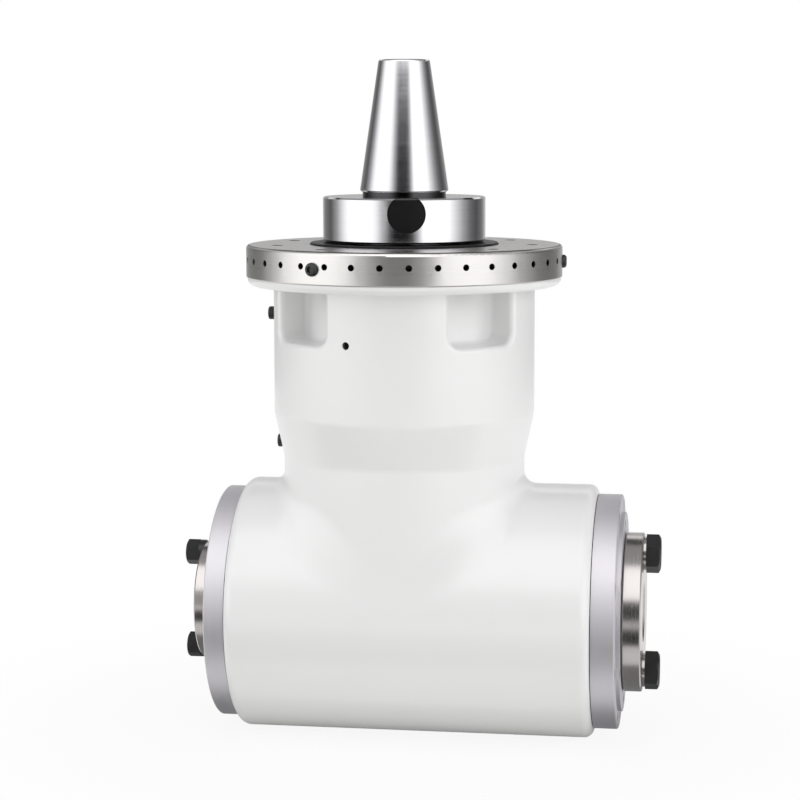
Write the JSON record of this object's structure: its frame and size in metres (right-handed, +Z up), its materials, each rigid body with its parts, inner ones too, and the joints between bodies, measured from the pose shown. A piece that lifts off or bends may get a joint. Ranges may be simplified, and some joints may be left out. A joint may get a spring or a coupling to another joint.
{
  "type": "right angle milling head",
  "caption": "Right angle milling head: taper shank and clamped index ring on top, white cast housing, bevel gears inside, horizontal spindle with a nose at each end.",
  "frame": {"origin": "centre of the index ring's top face, where the head bolts up to the machine", "axes": "+Z up along the input shank, +X along the output spindle towards its socket nose, +Y to the back"},
  "size_m": [0.3841, 0.25, 0.5358],
  "materials": {
    "ring_steel": "satin turned and ground",
    "housing_enamel": "glossy white enamel on cast iron",
    "arbor_steel": "hardened and ground, polished",
    "cover_steel": "satin turned",
    "nose_steel": "turned and ground",
    "black_oxide": "black oxide",
    "seal_cover_black": "black, semi matt",
    "seal_rubber": "matt",
    "gasket_sheet": "matt",
    "gear_steel": "case hardened, oiled",
    "bearing_steel": "ground and polished"
  },
  "bodies": {
    "ring": {"index_ring": "ring_steel", "rim_screws": "black_oxide"},
    "housing": {"housing": "housing_enamel", "lube_plugs": "black_oxide", "t_nuts": "black_oxide", "clamp_bolts": "black_oxide", "clamp_washers": "black_oxide", "upper_cap": "cover_steel", "upper_cap_screws": "black_oxide", "input_seal": "seal_rubber", "seal_cover": "seal_cover_black", "seal_cover_screws": "black_oxide", "upper_outer_races": "bearing_steel", "upper_outer_spacer": "bearing_steel", "lower_outer_race": "bearing_steel", "right_outer_races": "bearing_steel", "right_outer_spacer": "bearing_steel", "left_outer_race": "bearing_steel", "right_gasket": "gasket_sheet", "right_cover": "cover_steel", "right_cover_screws": "black_oxide", "right_seal": "seal_rubber", "labyrinth_ring": "cover_steel", "labyrinth_screws": "black_oxide", "left_gasket": "gasket_sheet", "left_cover": "cover_steel", "left_cover_screws": "black_oxide", "left_seal": "seal_rubber"},
    "input": {"input_arbor": "arbor_steel", "drive_inserts": "black_oxide", "upper_inner_races": "bearing_steel", "upper_rollers": "bearing_steel", "upper_inner_spacer": "bearing_steel", "upper_locknut": "black_oxide", "lower_inner_race": "bearing_steel", "lower_rollers": "bearing_steel", "drive_gear": "gear_steel", "drive_gear_key": "gear_steel", "drive_gear_nut": "black_oxide"},
    "output": {"output_spindle": "nose_steel", "driven_gear": "gear_steel", "driven_gear_key": "gear_steel", "driven_gear_nut": "black_oxide", "right_inner_races": "bearing_steel", "right_rollers": "bearing_steel", "right_inner_spacer": "bearing_steel", "left_inner_race": "bearing_steel", "left_rollers": "bearing_steel", "left_nose": "nose_steel", "left_nose_key": "gear_steel", "left_nose_nut": "black_oxide", "right_nose_bolts": "black_oxide", "right_bolt_washers": "nose_steel", "left_nose_bolts": "black_oxide", "left_bolt_collars": "nose_steel"}
  },
  "joints": [
    {"name": "index_swivel", "type": "hinge", "parent": "ring", "child": "housing", "pos_m": [0, 0, -0.0255], "axis": [0, 0, 1], "continuous": true},
    {"name": "input_spin", "type": "hinge", "parent": "housing", "child": "input", "pos_m": [0, 0, 0], "axis": [0, 0, 1], "continuous": true},
    {"name": "output_spin", "type": "hinge", "parent": "housing", "child": "output", "pos_m": [0, 0, -0.291], "axis": [1, 0, 0], "continuous": true}
  ],
  "couplings": [
    {"joint": "output_spin", "follows": "input_spin", "ratio": -1}
  ]
}
